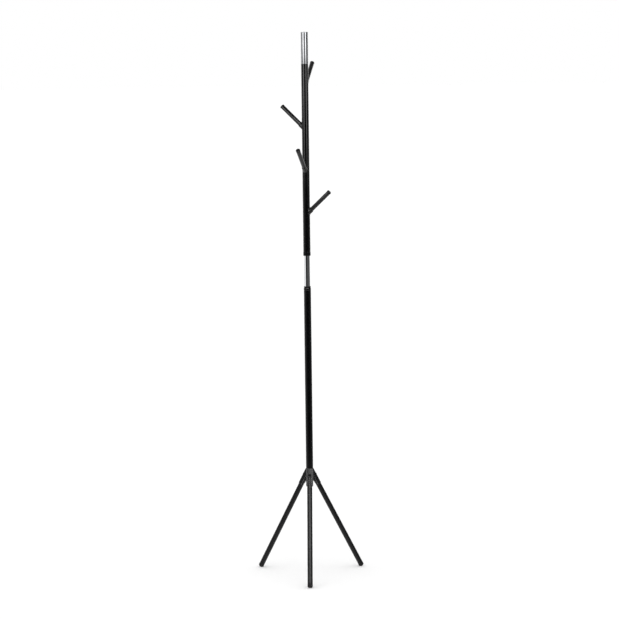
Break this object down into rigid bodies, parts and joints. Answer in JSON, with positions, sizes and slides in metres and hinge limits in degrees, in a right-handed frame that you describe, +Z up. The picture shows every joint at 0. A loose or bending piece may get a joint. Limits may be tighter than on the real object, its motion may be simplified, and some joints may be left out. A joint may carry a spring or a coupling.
{
  "type": "coat rack",
  "caption": "Slim free-standing coat rack: tripod base, black tubular mast with a bright telescoping neck and bright top, and angled rod pegs that spiral down it.",
  "frame": {"origin": "on the floor, in the middle of the footprint of the three feet (the mast's axis is 46 mm behind it, towards +Y)", "axes": "+Z up along the mast, -Y towards the front leg, +X to the right seen from the front"},
  "size_m": [0.3356, 0.2928, 1.7],
  "materials": {
    "gloss_black_paint": "gloss black powder-coated steel tube",
    "satin_black_paint": "satin black powder coat on the cast hub and the leg tubes",
    "black_abs": "moulded gloss black plastic",
    "chrome_plate": "bright chrome plate on steel tube",
    "zinc_steel": "zinc-plated turned steel, inside the assembly",
    "black_oxide_steel": "black oxide screws",
    "nylon": "moulded nylon, inside the assembly",
    "foot_rubber": "matt black rubber-like end caps"
  },
  "bodies": {
    "stand": {"hub": "satin_black_paint", "hub_stud": "zinc_steel", "mast_nut": "zinc_steel", "lower_tube": "gloss_black_paint", "lock_collet": "nylon", "leg_front": "satin_black_paint", "leg_right": "satin_black_paint", "leg_left": "satin_black_paint", "leg_insert_front": "nylon", "leg_insert_right": "nylon", "leg_insert_left": "nylon", "leg_screw_front": "black_oxide_steel", "leg_screw_right": "black_oxide_steel", "leg_screw_left": "black_oxide_steel", "foot_front": "foot_rubber", "foot_right": "foot_rubber", "foot_left": "foot_rubber"},
    "ring": {"lock_ring": "black_abs"},
    "glide": {"glide_bush": "nylon"},
    "head": {"inner_tube": "chrome_plate", "stop_ring": "zinc_steel", "inner_end_plug": "nylon", "spacer_bush": "nylon", "collar": "black_abs", "upper_tube": "gloss_black_paint", "top_joiner": "zinc_steel", "top_tube": "chrome_plate", "top_cap": "chrome_plate", "peg_1": "gloss_black_paint", "peg_socket_1": "gloss_black_paint", "peg_stud_1": "zinc_steel", "peg_cap_1": "black_abs", "peg_2": "gloss_black_paint", "peg_socket_2": "gloss_black_paint", "peg_stud_2": "zinc_steel", "peg_cap_2": "black_abs", "peg_3": "gloss_black_paint", "peg_socket_3": "gloss_black_paint", "peg_stud_3": "zinc_steel", "peg_cap_3": "black_abs", "peg_4": "gloss_black_paint", "peg_socket_4": "gloss_black_paint", "peg_stud_4": "zinc_steel", "peg_cap_4": "black_abs"}
  },
  "joints": [
    {"name": "height_slide", "type": "slide", "parent": "stand", "child": "glide", "axis": [0, 0, 1], "range_m": [-0.094, 0]},
    {"name": "head_swivel", "type": "hinge", "parent": "glide", "child": "head", "pos_m": [0, 0.04598, 1], "axis": [0, 0, 1], "continuous": true},
    {"name": "lock_turn", "type": "hinge", "parent": "stand", "child": "ring", "pos_m": [0, 0.04598, 0.9086], "axis": [0, 0, 1], "range_deg": [0, 60]}
  ]
}
